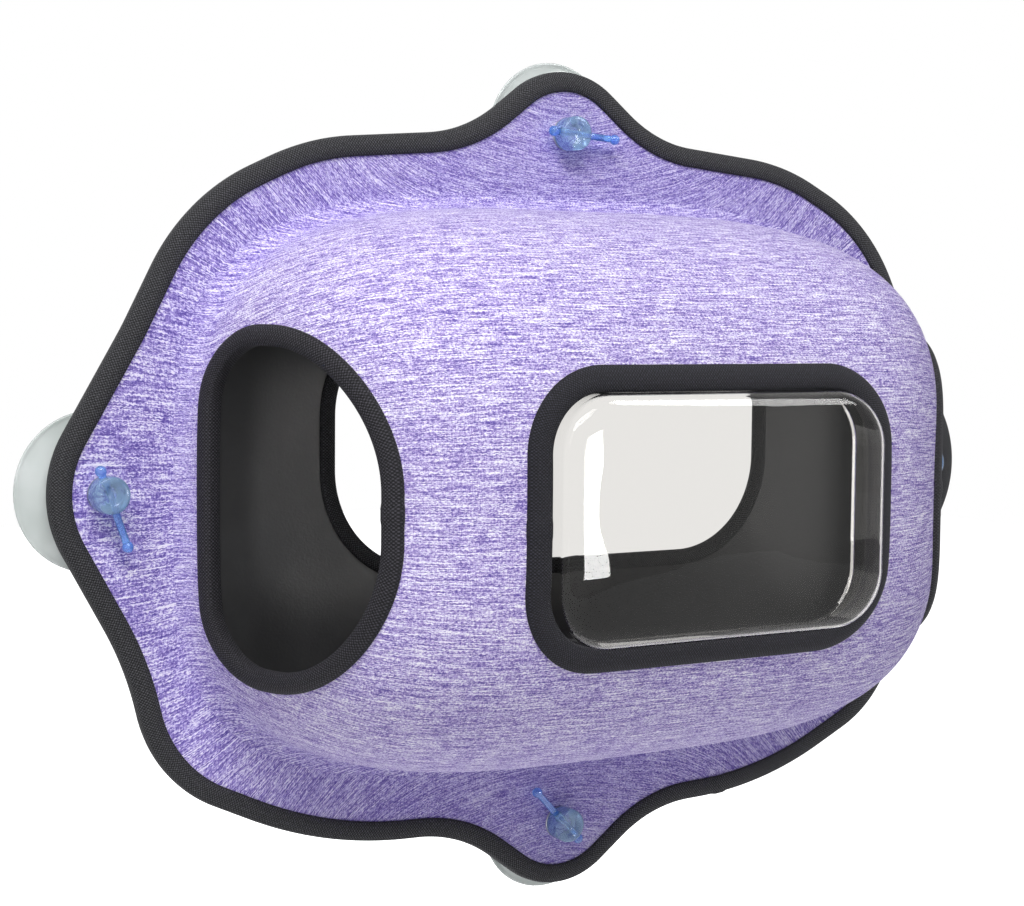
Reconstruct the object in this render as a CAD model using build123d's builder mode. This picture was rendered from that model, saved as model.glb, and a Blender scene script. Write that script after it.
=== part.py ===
"""Window pod for a cat: a thermoformed bubble on a lobed flange, held by four suction cups.

The frame has its origin on the window glass, at the middle of the pod. +Z is up, +Y points
out through the glass, and the pod stands into the room along -Y.  Lengths are millimetres.
"""

import math
import os

from build123d import *

os.makedirs("parts", exist_ok=True)

# Layers of the flange, counted from the glass into the room
standoff = 10.0
board_thickness = 2.0
lining_thickness = 0.8
foam_thickness = 4.6
cover_thickness = 0.8

# Flange outline
flange_half_width = 330.0
flange_half_height = 254.5
lobe_radius = 53.0
neck_radius = 92.0
shoulder_radius_high = 120.0
shoulder_radius_low = 180.0
flank_radius_high = 88.0
flank_radius_low = 79.0
side_neck_radius_high = 213.0
side_neck_radius_low = 192.0
side_lobe_radius = 67.0

# Bubble
bubble_half_length = 250.0
bubble_half_height = 168.0
bubble_depth = 170.0
foot_radius = 12.0
end_lean_share = 0.20
end_power_share = 3.4
roof_power_share = 2.5
foot_corner_power_share = 3.5
front_corner_power_share = 3.8

# Binding tape
tape_thickness = 1.2
rim_band = 11.5
entry_band = 11.0
window_band = 14.0
outlook_band = 9.0

# Entries at the two ends, drawn on the leaning end wall
entry_foot_gap = 10.0
entry_length = 141.0
entry_height = 202.0
entry_drop = 3.0
entry_foot_corner = 45.0
entry_front_corner = 88.0
entry_reach = 45.0
entry_front_depth = 138.0

# Window in the front and outlook in the rear board
window_width = 252.0
window_height = 168.0
window_drop = 6.0
window_corner = 48.0
outlook_width = 330.0
outlook_height = 172.0
outlook_rise = 28.0
outlook_corner = 70.0

# Clear dome
dome_sheet = 1.2
dome_rise = 18.0
dome_edge_radius = 12.0
dome_gap = 0.25
seat_width = 9.0

# Suction cups, their eyelets and lock pins
cup_radius = 45.5
cup_lip_width = 3.5
cup_lip_thickness = 0.9
cup_hollow = 3.2
cup_boss_radius = 27.0
cup_boss_height = 5.2
cup_collar_radius = 13.0
cup_neck_radius = 6.4
cup_head_radius = 10.5
cup_head_height = 13.0
cup_head_edge = 1.6
lobe_tip_to_cup = 38.5
side_tip_to_cup = 31.0
eyelet_wall = 1.4
eyelet_lip = 1.2
eyelet_lip_width = 2.2
pin_radius = 2.1
pin_ball_radius = 3.2
pin_reach = 31.0
pin_angles = {"top": -4.0, "bottom": 133.0, "left": -70.0, "right": -112.0}

# Cushion
cushion_top = 104.0
cushion_crown = 10.0
cushion_half_length = 212.0
cushion_front = 150.0
cushion_edge_radius = 16.0

# Clearances and overruns
running_gap = 0.06
seat_gap = 0.25
soft_gap = 0.3
overrun = 20.0
section_points = 24

laminate = lining_thickness + foam_thickness + cover_thickness
front_y = standoff + board_thickness + laminate
side_lobe_rise = 4.0

half_outline_shares = [
    (0.209, 0.841),
    (0.5245, 0.801),
    (0.748, 0.653),
    (0.866, 0.375),
    (1.027, side_lobe_rise / flange_half_height),
    (0.8615, -0.372),
    (0.814, -0.631),
    (0.491, -0.820),
    (0.2175, -0.840),
]
half_outline_radii = [
    neck_radius,
    shoulder_radius_high,
    flank_radius_high,
    side_neck_radius_high,
    side_lobe_radius,
    side_neck_radius_low,
    flank_radius_low,
    shoulder_radius_low,
    neck_radius,
]
tip_share = 1.0525
depth_shares = [0.25, 0.48, 0.66, 0.80, 0.90, 0.96, 0.985]
foot_angle_shares = [0.17, 0.45, 0.72, 1.0]


def room_plane(depth):
    """A plane parallel to the glass, the given depth in front of the flange's face."""
    return Plane.XZ.offset(front_y + depth)


def flange_outline(inset, y_from, y_to):
    """The lobed outline, drawn in by inset, as a plate between two distances from the glass."""
    half = [(x * flange_half_width, z * flange_half_height) for x, z in half_outline_shares]
    tip = tip_share * flange_half_height
    points = [(0, tip), *half, (0, -tip), *[(-x, z) for x, z in reversed(half)]]
    radii = [lobe_radius, *half_outline_radii, lobe_radius, *reversed(half_outline_radii)]
    with BuildPart() as plate:
        with BuildSketch(Plane.XZ.offset(y_from)):
            with BuildLine():
                FilletPolyline(*points, radius=radii, close=True)
            make_face()
            if inset:
                offset(amount=-inset)
        extrude(amount=y_to - y_from)
    return plate.part


def bubble_half_sizes(depth, skin):
    """Half length and half height of the bubble's section, and its corner power."""
    rise_share = depth / bubble_depth
    lean = bubble_half_length + skin - end_lean_share * depth
    half_length = lean * (1 - rise_share**end_power_share) ** (1 / end_power_share)
    roof = (1 - rise_share**roof_power_share) ** (1 / roof_power_share)
    power_span = front_corner_power_share - foot_corner_power_share
    return half_length, (bubble_half_height + skin) * roof, foot_corner_power_share + power_span * rise_share


def bubble_ring(depth, skin, flare):
    """Points round one section of the bubble, a superellipse that flares at the foot.

    The ring starts under the window, so that the loft's seam keeps clear of the entries.
    """
    half_length, half_height, power = bubble_half_sizes(max(depth, 0), skin)
    ring = []
    for step in range(section_points):
        turn = 2 * math.pi * step / section_points - math.pi / 2
        x_share = math.copysign(abs(math.cos(turn)) ** (2 / power), math.cos(turn))
        z_share = math.copysign(abs(math.sin(turn)) ** (2 / power), math.sin(turn))
        ring.append((x_share * (half_length + flare), z_share * (half_height + flare)))
    return ring


def chord_shares(ring):
    """How far round a closed ring each of its points lies, as shares of its length."""
    lengths = [math.dist(ring[i - 1], ring[i]) for i in range(1, len(ring))]
    lengths.append(math.dist(ring[-1], ring[0]))
    total = sum(lengths)
    return [sum(lengths[:i]) / total for i in range(len(ring))] + [1]


# Every section runs through its points at the same pace, so the loft has few patches
ring_pace = chord_shares(bubble_ring(0, 0, 0))


def bubble_edge(depth, skin, flare):
    """The closed curve round one section of the bubble."""
    ring = [Vector(x, z) for x, z in bubble_ring(depth, skin, flare)]
    return Edge.make_spline(ring, periodic=True, parameters=ring_pace)


def foot_levels(foot):
    """Depth and flare of each section in the rounded foot."""
    swings = [share * math.pi / 2 for share in foot_angle_shares]
    start = math.cos(swings[0])
    return [(foot * (start - math.cos(swing)), foot * (1 - math.sin(swing))) for swing in swings]


def bubble_body(skin, foot):
    """The filled bubble, its surface moved out by skin, with a flared foot of radius foot."""
    rounded = foot_levels(foot) if foot else []
    wall = [rounded[-1] if foot else (0, 0), *[(share * bubble_depth, 0) for share in depth_shares]]
    with BuildPart() as body:
        for levels in (rounded, wall) if foot else (wall,):
            for depth, flare in levels:
                with BuildSketch(room_plane(skin + depth)):
                    with BuildLine():
                        add(bubble_edge(depth, skin, flare))
                    make_face()
            loft()
    return body.part


def mouth_core(skin):
    """The foot section carried back through the flange, to clear the pod's mouth."""
    with BuildPart() as core:
        with BuildSketch(room_plane(skin)):
            with BuildLine():
                add(bubble_edge(0, skin, foot_levels(foot_radius - skin)[0][1]))
            make_face()
        extrude(amount=-overrun)
    return core.part


# Filled bodies at each skin of the laminate, counted out from the pod's visible face
skin_cover = 0.0
skin_foam = -cover_thickness
skin_lining = skin_foam - foam_thickness
skin_inside = -laminate
skin_tape_out = tape_thickness
skin_tape_in = skin_inside - tape_thickness
skin_seat_out = skin_tape_in
skin_seat_in = skin_seat_out - dome_sheet
bubble = {
    skin: bubble_body(skin, foot_radius - skin)
    for skin in (
        skin_tape_out, skin_cover, skin_foam, skin_lining, skin_inside, skin_seat_out, skin_seat_in,
    )
}

# End wall plane: from the foot of the bubble to its front shoulder
sides = {"left": -1, "right": 1}
entry_far = entry_foot_gap + entry_length
shoulder_half_length = bubble_half_sizes(entry_front_depth, 0)[0]
wall_run = math.hypot(bubble_half_length - shoulder_half_length, entry_front_depth)
wall_along = ((bubble_half_length - shoulder_half_length) / wall_run, entry_front_depth / wall_run)


def entry_plane(side):
    """A plane on the end wall, its x axis running from the foot into the room."""
    turned = sides[side]
    return Plane(
        origin=(turned * bubble_half_length, -front_y, -entry_drop),
        x_dir=(-turned * wall_along[0], -wall_along[1], 0),
        z_dir=(turned * wall_along[1], -wall_along[0], 0),
    )


def entry_prism(side, inset):
    """The entry's outline, drawn in by inset, carried square through the end wall."""
    low, high = entry_foot_gap, entry_far
    half = entry_height / 2
    with BuildPart() as prism:
        with BuildSketch(entry_plane(side)):
            with BuildLine():
                FilletPolyline(
                    (low, half), (low, -half), (high, -half), (high, half),
                    radius=[entry_foot_corner, entry_foot_corner, entry_front_corner, entry_front_corner],
                    close=True,
                )
            make_face()
            if inset:
                offset(amount=-inset)
        extrude(amount=entry_reach, both=True)
    return prism.part


def window_prism(inset, depth_from, depth_to):
    """The window's outline, drawn in by inset, between two depths in front of the flange."""
    with BuildPart() as prism:
        with BuildSketch(room_plane(depth_from)):
            with Locations((0, -window_drop)):
                RectangleRounded(
                    window_width - 2 * inset, window_height - 2 * inset, window_corner - inset
                )
        extrude(amount=depth_to - depth_from)
    return prism.part


window_front = bubble_depth + overrun
window_back = bubble_depth / 2

# Openings that every skin of the laminate shares: the tape fills the rest of the cut
entry_cuts = {side: entry_prism(side, entry_band - tape_thickness) for side in sides}
window_cut = window_prism(window_band - tape_thickness, window_back, window_front)

# Places of the four cups on the glass
cup_places = {
    "top": (0, flange_half_height - lobe_tip_to_cup),
    "bottom": (0, lobe_tip_to_cup - flange_half_height),
    "left": (side_tip_to_cup - flange_half_width, side_lobe_rise),
    "right": (flange_half_width - side_tip_to_cup, side_lobe_rise),
}
eyelet_bore = cup_neck_radius + running_gap
eyelet_radius = eyelet_bore + eyelet_wall
cup_spots = [(x, z) for x, z in cup_places.values()]


def laminate_layer(name, outer, inner):
    """One layer of the thermoformed laminate: its share of the flange and of the bubble."""
    with BuildPart() as layer:
        add(flange_outline(tape_thickness, front_y + inner, front_y + outer))
        add(bubble[outer])
        add([bubble[inner], mouth_core(inner), *entry_cuts.values(), window_cut], mode=Mode.SUBTRACT)
        with BuildSketch(Plane.XZ.offset(standoff)):
            with Locations(*cup_spots):
                Circle(eyelet_radius)
        extrude(amount=front_y, mode=Mode.SUBTRACT)
    layer.part.label = name
    export_step(layer.part, f"parts/{name}.step")
    return layer.part


# The laminate is pressed in one piece, so its layers share one form: fabric, foam and lining
outer_cover = laminate_layer("outer_cover", skin_cover, skin_foam)
foam_shell = laminate_layer("foam_shell", skin_foam, skin_lining)
inner_lining = laminate_layer("inner_lining", skin_lining, skin_inside)


def outlook_prism(inset, y_from, y_to):
    """The opening in the rear board, through which the cat looks out of the window."""
    with BuildPart() as prism:
        with BuildSketch(Plane.XZ.offset(y_from)):
            with Locations((0, outlook_rise)):
                RectangleRounded(
                    outlook_width - 2 * inset, outlook_height - 2 * inset, outlook_corner - inset
                )
        extrude(amount=y_to - y_from)
    return prism.part


# Rear board: stiffens the flange and closes the low part of the pod's mouth
board_front = standoff + board_thickness
with BuildPart() as rear_board:
    add(flange_outline(tape_thickness, standoff, board_front))
    add(
        outlook_prism(outlook_band - tape_thickness, standoff - overrun, board_front + overrun),
        mode=Mode.SUBTRACT,
    )
    with BuildSketch(Plane.XZ.offset(standoff)):
        with Locations(*cup_spots):
            Circle(eyelet_radius)
    extrude(amount=board_thickness, mode=Mode.SUBTRACT)
rear_board.part.label = "rear_board"
export_step(rear_board.part, "parts/rear_board.step")

# Binding folded round the board's outlook
with BuildPart() as outlook_binding:
    add(outlook_prism(0, standoff - tape_thickness, board_front + tape_thickness))
    add(
        outlook_prism(outlook_band, standoff - overrun, board_front + overrun),
        mode=Mode.SUBTRACT,
    )
    add(rear_board.part, mode=Mode.SUBTRACT)
outlook_binding.part.label = "outlook_binding"
export_step(outlook_binding.part, "parts/outlook_binding.step")

# Binding folded round the flange's rim, over the laminate and the rear board
with BuildPart() as rim_binding:
    add(flange_outline(0, standoff - tape_thickness, front_y + tape_thickness))
    add(
        flange_outline(rim_band, standoff - overrun, front_y + overrun),
        mode=Mode.SUBTRACT,
    )
    add(flange_outline(tape_thickness, standoff, front_y), mode=Mode.SUBTRACT)
rim_binding.part.label = "rim_binding"
export_step(rim_binding.part, "parts/rim_binding.step")

# The tape's shell round the bubble, and the laminate between its two legs
with BuildPart() as tape_shell:
    add(bubble[skin_tape_out])
    add(bubble[skin_tape_in], mode=Mode.SUBTRACT)
with BuildPart() as bubble_laminate:
    add(bubble[skin_cover])
    add([bubble[skin_inside], entry_cuts["left"], window_cut], mode=Mode.SUBTRACT)

# Binding folded round the window
with BuildPart() as window_binding:
    add(window_prism(0, window_back, window_front))
    add(tape_shell.part, mode=Mode.INTERSECT)
    add(
        [window_prism(window_band, window_back, window_front), bubble_laminate.part],
        mode=Mode.SUBTRACT,
    )
window_binding.part.label = "window_binding"
export_step(window_binding.part, "parts/window_binding.step")

# Bindings folded round the two entries, which mirror each other
with BuildPart() as left_entry_binding:
    add(entry_prism("left", 0))
    add(tape_shell.part, mode=Mode.INTERSECT)
    add([entry_prism("left", entry_band), bubble_laminate.part], mode=Mode.SUBTRACT)
left_entry_binding.part.label = "left_entry_binding"
export_step(left_entry_binding.part, "parts/left_entry_binding.step")

with BuildPart() as right_entry_binding:
    add(mirror(left_entry_binding.part, about=Plane.YZ, mode=Mode.PRIVATE))
right_entry_binding.part.label = "right_entry_binding"
export_step(right_entry_binding.part, "parts/right_entry_binding.step")

# Clear dome: a pressed tray in the window, with a seat behind the binding
dome_front = bubble_depth + dome_rise
dome_inset = window_band + dome_gap
with BuildPart() as dome_outside:
    add(window_prism(dome_inset, window_back, dome_front))
    fillet(dome_outside.faces().sort_by(Axis.Y)[0].edges(), dome_edge_radius)
with BuildPart() as dome_inside:
    add(window_prism(dome_inset + dome_sheet, window_back, dome_front - dome_sheet))
    fillet(dome_inside.faces().sort_by(Axis.Y)[0].edges(), dome_edge_radius - dome_sheet)
with BuildPart() as dome_seat:
    add(window_prism(window_band - seat_width, window_back, window_front))
    add(bubble[skin_seat_out], mode=Mode.INTERSECT)
    add(bubble[skin_seat_in], mode=Mode.SUBTRACT)
with BuildPart() as bubble_window:
    add(dome_outside.part)
    add(bubble[skin_seat_in], mode=Mode.SUBTRACT)
    add(dome_seat.part)
    add(dome_inside.part, mode=Mode.SUBTRACT)
bubble_window.part.label = "bubble_window"
export_step(bubble_window.part, "parts/bubble_window.step")

# Cushion: lies in the bubble's belly, with a crowned top and rounded, drawn-in edges
skin_cushion = skin_inside - soft_gap
cushion_back = board_front + tape_thickness + soft_gap
cushion_depth = cushion_front - cushion_back
crown_radius = (cushion_half_length**2 + cushion_crown**2) / (2 * cushion_crown)
with BuildPart() as floor_cushion:
    add(bubble_body(skin_cushion, 0))
    with BuildSketch(Plane.XZ.offset(cushion_back)):
        with Locations((0, -cushion_top - crown_radius)):
            Circle(crown_radius)
        with Locations((0, cushion_edge_radius - cushion_top - cushion_crown - bubble_half_height)):
            RectangleRounded(
                2 * cushion_half_length, 2 * bubble_half_height, cushion_edge_radius, mode=Mode.INTERSECT
            )
    extrude(amount=bubble_depth, mode=Mode.INTERSECT)
    with BuildSketch(Plane.YZ.offset(-bubble_half_length)):
        with Locations((-cushion_back - cushion_depth / 2, -cushion_top - bubble_half_height)):
            RectangleRounded(cushion_depth, 2 * bubble_half_height, cushion_edge_radius)
    extrude(amount=2 * bubble_half_length, mode=Mode.INTERSECT)
floor_cushion.part.label = "floor_cushion"
export_step(floor_cushion.part, "parts/floor_cushion.step")

# Heights over the glass of a cup's collar, head and cross hole
head_foot = front_y + eyelet_lip + seat_gap
head_top = head_foot + cup_head_height
pin_height = head_foot + cup_head_height / 2
boss_top = cup_boss_height + cup_lip_thickness
collar_top = standoff - eyelet_lip - seat_gap
pin_stop = cup_head_radius + pin_ball_radius + seat_gap

for name, (cup_x, cup_z) in cup_places.items():
    profile = Plane(origin=(cup_x, 0, cup_z), x_dir=(1, 0, 0), z_dir=(0, 0, -1))
    spin = Axis((cup_x, 0, cup_z), (0, -1, 0))
    angle = math.radians(pin_angles[name])
    pin_dir = (math.cos(angle), 0, math.sin(angle))

    # Suction cup: lip, shallow hollow, boss, collar, neck and the head on the room side
    with BuildPart() as cup:
        with BuildSketch(profile):
            with BuildLine():
                lip_inner = (cup_radius - cup_lip_width, 0)
                ThreePointArc(
                    (0, cup_hollow),
                    (lip_inner[0] / 2, cup_hollow * 3 / 4),
                    lip_inner,
                )
                Line(lip_inner, (cup_radius, 0))
                Line((cup_radius, 0), (cup_radius, cup_lip_thickness))
                Line((cup_radius, cup_lip_thickness), (cup_boss_radius, cup_boss_height))
                Line((cup_boss_radius, cup_boss_height), (cup_collar_radius, boss_top))
                Line((cup_collar_radius, boss_top), (cup_collar_radius, collar_top))
                Line((cup_collar_radius, collar_top), (cup_neck_radius, collar_top))
                Line((cup_neck_radius, collar_top), (cup_neck_radius, head_foot))
                Line((cup_neck_radius, head_foot), (cup_head_radius, head_foot))
                Line((cup_head_radius, head_foot), (cup_head_radius, head_top))
                Line((cup_head_radius, head_top), (0, head_top))
                Line((0, head_top), (0, cup_hollow))
            make_face()
        revolve(axis=spin)
        fillet(cup.edges().filter_by(GeomType.CIRCLE).sort_by(Axis.Y)[0], cup_head_edge)
        cross = Plane(origin=(cup_x, -pin_height, cup_z), z_dir=pin_dir)
        with BuildSketch(cross):
            Circle(pin_radius + running_gap)
        extrude(amount=cup_head_radius, both=True, mode=Mode.SUBTRACT)
    cup.part.label = f"{name}_suction_cup"
    export_step(cup.part, f"parts/{name}_suction_cup.step")

    # Eyelet set in the flange: a tube with a lip on each side
    with BuildPart() as eyelet:
        with BuildSketch(profile):
            with BuildLine():
                lip_edge = eyelet_radius + eyelet_lip_width
                Polyline(
                    (eyelet_bore, standoff - eyelet_lip),
                    (lip_edge, standoff - eyelet_lip),
                    (lip_edge, standoff),
                    (eyelet_radius, standoff),
                    (eyelet_radius, front_y),
                    (lip_edge, front_y),
                    (lip_edge, front_y + eyelet_lip),
                    (eyelet_bore, front_y + eyelet_lip),
                    close=True,
                )
            make_face()
        revolve(axis=spin)
    eyelet.part.label = f"{name}_eyelet"
    export_step(eyelet.part, f"parts/{name}_eyelet.step")

    # Lock pin through the head: a rod with a ball at each end, pushed home on its short side
    pin_length = pin_stop + pin_reach
    near_end = Plane(
        origin=(cup_x - pin_stop * pin_dir[0], -pin_height, cup_z - pin_stop * pin_dir[2]),
        z_dir=pin_dir,
    )
    with BuildPart() as lock_pin:
        with BuildSketch(near_end):
            Circle(pin_radius)
        extrude(amount=pin_length)
        for reach in (0, pin_length):
            with Locations(near_end.offset(reach)):
                Sphere(pin_ball_radius)
    lock_pin.part.label = f"{name}_lock_pin"
    export_step(lock_pin.part, f"parts/{name}_lock_pin.step")
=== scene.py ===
import math

import bpy
import numpy as np
from mathutils import Matrix, Vector


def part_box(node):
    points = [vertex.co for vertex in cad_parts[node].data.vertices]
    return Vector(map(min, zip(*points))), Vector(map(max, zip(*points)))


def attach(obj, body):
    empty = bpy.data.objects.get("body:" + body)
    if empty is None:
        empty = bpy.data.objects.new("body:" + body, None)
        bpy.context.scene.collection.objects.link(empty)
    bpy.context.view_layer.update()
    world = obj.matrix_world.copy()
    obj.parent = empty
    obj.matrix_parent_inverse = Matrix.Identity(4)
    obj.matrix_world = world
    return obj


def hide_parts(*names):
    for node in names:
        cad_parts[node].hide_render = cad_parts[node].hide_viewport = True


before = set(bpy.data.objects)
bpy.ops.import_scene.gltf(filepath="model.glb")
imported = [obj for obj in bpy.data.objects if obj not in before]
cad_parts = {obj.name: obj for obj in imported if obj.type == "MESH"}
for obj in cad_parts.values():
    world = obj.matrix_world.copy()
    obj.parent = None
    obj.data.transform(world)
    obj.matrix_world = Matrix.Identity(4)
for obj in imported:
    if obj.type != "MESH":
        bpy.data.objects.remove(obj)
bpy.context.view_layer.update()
bpy.ops.object.select_all(action="DESELECT")


# The camera stands in the room, left of the pod and a little above it.
# Its place and lens are the ones that the photograph's perspective gives.
camera_place = (-0.6759, -1.0696, 0.1036)
camera_yaw = math.radians(-31.28)
camera_pitch = math.radians(90 - 3.92)
camera_roll = math.radians(0.52)
camera_lens = 70.3

bpy.ops.object.camera_add()
camera = bpy.context.object
camera.name = "room_camera"
camera.data.lens = camera_lens
camera.matrix_world = (
    Matrix.Translation(camera_place)
    @ Matrix.Rotation(camera_yaw, 4, "Z")
    @ Matrix.Rotation(camera_pitch, 4, "X")
    @ Matrix.Rotation(camera_roll, 4, "Z")
)
bpy.context.scene.camera = camera
bpy.context.scene.view_settings.view_transform = "Standard"


# Studio light: a broad key above and to the left, a weak strip at the left, a fill for the back
# that doesn't show through the clear cups, two cards that show only as reflections in the clear
# parts, and a pale world.
def add_lamp(name, place, aim, size, watts):
    bpy.ops.object.light_add(type="AREA", location=place)
    lamp = bpy.context.object
    lamp.name = name
    lamp.data.shape = "RECTANGLE"
    lamp.data.size, lamp.data.size_y = size
    lamp.data.energy = watts
    lamp.rotation_euler = (Vector(aim) - Vector(place)).to_track_quat("-Z", "Y").to_euler()
    return lamp


pod_middle = (0, -0.06, 0)
dome_left = (-0.09, -0.2, -0.01)
dome_top = (0, -0.2, 0.08)
add_lamp("key", (-0.75, -1.15, 1.6), pod_middle, (2.0, 0.8), 49)
add_lamp("left_strip", (-1.8, -0.9, 1.1), pod_middle, (0.5, 1.1), 3)
back_fill = add_lamp("back_fill", (0.2, 1.9, 0.3), pod_middle, (1.6, 1.2), 19)
back_fill.visible_transmission = False
front_card = add_lamp("front_card", (0.640, -1.45, -0.098), dome_left, (0.070, 0.25), 2.6)
front_card.visible_diffuse = False
top_card = add_lamp("top_card", (0.85, -0.90, 0.92), dome_top, (0.40, 0.9), 14)
top_card.visible_diffuse = False


def node_makers(tree):
    """For a node tree, a function that adds a node and one that feeds a socket.

    A key with a small first letter is a setting of the node, which comes before its sockets.
    """

    def node(kind, **values):
        made = tree.nodes.new("ShaderNode" + kind)
        for key, value in values.items():
            if key[0].islower():
                setattr(made, key, value)
            else:
                feed(made.inputs[int(key[1:]) if key[0] == "_" else key.replace("_", " ")], value)
        return made

    def feed(socket, value):
        if isinstance(value, bpy.types.NodeSocket):
            tree.links.new(value, socket)
        else:
            socket.default_value = value

    return node, feed


world = bpy.data.worlds.new("pale_room")
bpy.context.scene.world = world
world.use_nodes = True
world.node_tree.nodes.clear()
node, feed = node_makers(world.node_tree)
path = node("LightPath")
seen = node(
    "Math", operation="MAXIMUM", _0=path.outputs["Is Camera Ray"], _1=path.outputs["Is Glossy Ray"]
)
seen_through = node(
    "Math", operation="MAXIMUM", _0=seen.outputs[0], _1=path.outputs["Is Transmission Ray"]
)
ambient = node("Background", Color=(0.93, 0.95, 1.0, 1), Strength=0.27)
white = node("Background", Color=(1, 1, 1, 1), Strength=1.0)
mix = node("MixShader", _0=seen_through.outputs[0], _1=ambient.outputs[0], _2=white.outputs[0])
node("OutputWorld", Surface=mix.outputs[0])


# The floor is well below the window that the pod hangs on. It is pale, and it shows plain white to
# the camera, in reflections and through the clear parts.
def new_material(name):
    """A node material, its Principled shader, and the makers of its nodes."""
    material = bpy.data.materials.new(name)
    material.use_nodes = True
    return material, material.node_tree.nodes["Principled BSDF"], *node_makers(material.node_tree)


floor_drop = 0.62
floor_size = 9
bpy.ops.mesh.primitive_plane_add(size=floor_size, location=(0, 1, -floor_drop))
floor = bpy.context.object
floor.name = "floor"
floor_paint, shader, node, feed = new_material("pale_floor")
feed(shader.inputs["Base Color"], (0.82, 0.82, 0.82, 1))
feed(shader.inputs["Roughness"], 0.8)
feed(shader.inputs["Emission Color"], (1, 1, 1, 1))
path = node("LightPath")
shown = node(
    "Math", operation="MAXIMUM", _0=path.outputs["Is Camera Ray"], _1=path.outputs["Is Glossy Ray"]
)
feed(shader.inputs["Emission Strength"], shown.outputs[0])
plain_white = node("Emission", Color=(1, 1, 1, 1), Strength=1.0)
through_glass = node(
    "MixShader", _0=path.outputs["Is Transmission Ray"], _1=shader.outputs["BSDF"],
    _2=plain_white.outputs["Emission"],
)
surface = floor_paint.node_tree.nodes["Material Output"].inputs["Surface"]
feed(surface, through_glass.outputs["Shader"])
floor.data.materials.append(floor_paint)


# Outer cover: linen-look fabric bonded to foam and pressed hot into a bubble with a flat, lobed
# flange. It is one continuous surface from the rim to the front, cut for two entries and a window.
flange_half_width = 0.330
flange_half_height = 0.2545
standoff = 0.010
flange_front = 0.0182
tape_thickness = 0.0012
bubble_half_length = 0.250
bubble_half_height = 0.168
bubble_depth = 0.170
foot_radius = 0.012
foot_turn_share = 0.17
foot_start = math.cos(foot_turn_share * math.pi / 2)
end_lean = 0.20
end_power = 3.4
roof_power = 2.5
foot_corner_power = 3.5
front_corner_power = 3.8
front_share = 0.985
row_crowding = 1.1
flange_rows = 15
fine_steps = 4000
cover_thickness = 0.0008
laminate = 0.0062

# The wall draws the flat fabric in at the bubble's corners. On the flange the threads rise away
# from the bubble's long sides towards its corners, and dip round the lobes.
corner_hold = 0.10
thread_rise = 0.078
rise_at = 0.170
rise_width = 0.075
rise_height = 0.18
lobe_hold = 0.034
lobe_half_width = 0.055
lobe_from = 0.175


def bubble_section(depth, skin):
    """Half length, half height and corner power of the bubble's section at a depth."""
    own = np.clip(depth - skin, 0, bubble_depth * 0.99999)
    share = own / bubble_depth
    radius = foot_radius - skin
    swing = np.arccos(np.clip(foot_start - own / radius, 0, 1))
    flare = radius * (1 - np.sin(swing))
    half_length = bubble_half_length + skin - end_lean * own
    half_length *= (1 - share**end_power) ** (1 / end_power)
    half_height = (bubble_half_height + skin) * (1 - share**roof_power) ** (1 / roof_power)
    power = foot_corner_power + (front_corner_power - foot_corner_power) * share
    return half_length + flare, half_height + flare, power


def rounded_loop(corners, radii, pitch):
    """Evenly spaced points round a polygon with rounded corners, and their inward normals."""
    corners = np.array(corners, float)
    points = []
    for i, radius in enumerate(radii):
        corner, before, after = corners[i], corners[i - 1], corners[(i + 1) % len(corners)]
        to_before = (before - corner) / np.linalg.norm(before - corner)
        to_after = (after - corner) / np.linalg.norm(after - corner)
        half_angle = math.acos(np.clip(to_before @ to_after, -1, 1)) / 2
        reach = radius / math.tan(half_angle)
        bisector = (to_before + to_after) / np.linalg.norm(to_before + to_after)
        centre = corner + bisector * radius / math.sin(half_angle)
        start, end = corner + to_before * reach - centre, corner + to_after * reach - centre
        sweep = math.atan2(start[0] * end[1] - start[1] * end[0], start @ end)
        for turn in np.linspace(0, sweep, max(3, int(abs(sweep) * radius / pitch) + 2)):
            c, s = math.cos(turn), math.sin(turn)
            points.append(centre + (c * start[0] - s * start[1], s * start[0] + c * start[1]))
    closed = np.array(points + points[:1])
    run = np.concatenate([[0], np.cumsum(np.linalg.norm(np.diff(closed, axis=0), axis=1))])
    steps = np.linspace(0, run[-1], int(run[-1] / pitch) + 1)[:-1]
    loop = np.stack([np.interp(steps, run, closed[:, k]) for k in (0, 1)], axis=1)
    along = np.roll(loop, -1, 0) - np.roll(loop, 1, 0)
    along /= np.linalg.norm(along, axis=1)[:, None]
    inward = np.stack([-along[:, 1], along[:, 0]], axis=1)
    following = np.roll(loop, -1, 0)
    area = np.sum(loop[:, 0] * following[:, 1] - following[:, 0] * loop[:, 1])
    return loop, inward * (1 if area > 0 else -1)


# Corners of the lobed outline as shares of its half width and half height, and their radii
half_outline_shares = [
    (0.209, 0.841), (0.5245, 0.804), (0.7535, 0.6615), (0.866, 0.375), (1.027, 0.0157),
    (0.8615, -0.372), (0.814, -0.633), (0.494, -0.829), (0.2175, -0.840),
]
half_outline_radii = [0.092, 0.150, 0.128, 0.213, 0.067, 0.192, 0.082, 0.258, 0.092]
lobe_radius = 0.053
tip_share = 1.0525
right_half = [(x * flange_half_width, z * flange_half_height) for x, z in half_outline_shares]
left_half = [(-x, z) for x, z in reversed(right_half)]
tip = tip_share * flange_half_height
outline_corners = [(0, tip), *right_half, (0, -tip), *left_half]
outline_radii = [lobe_radius, *half_outline_radii, lobe_radius, *reversed(half_outline_radii)]
outline_pitch = 0.003
flange_loop, flange_inward = rounded_loop(outline_corners, outline_radii, outline_pitch)


def unit_ring(turns, power):
    """Points of a superellipse of half size 1, at the given angles."""
    x = np.sign(np.cos(turns)) * np.abs(np.cos(turns)) ** (2 / power)
    z = np.sign(np.sin(turns)) * np.abs(np.sin(turns)) ** (2 / power)
    return x, z


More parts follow.
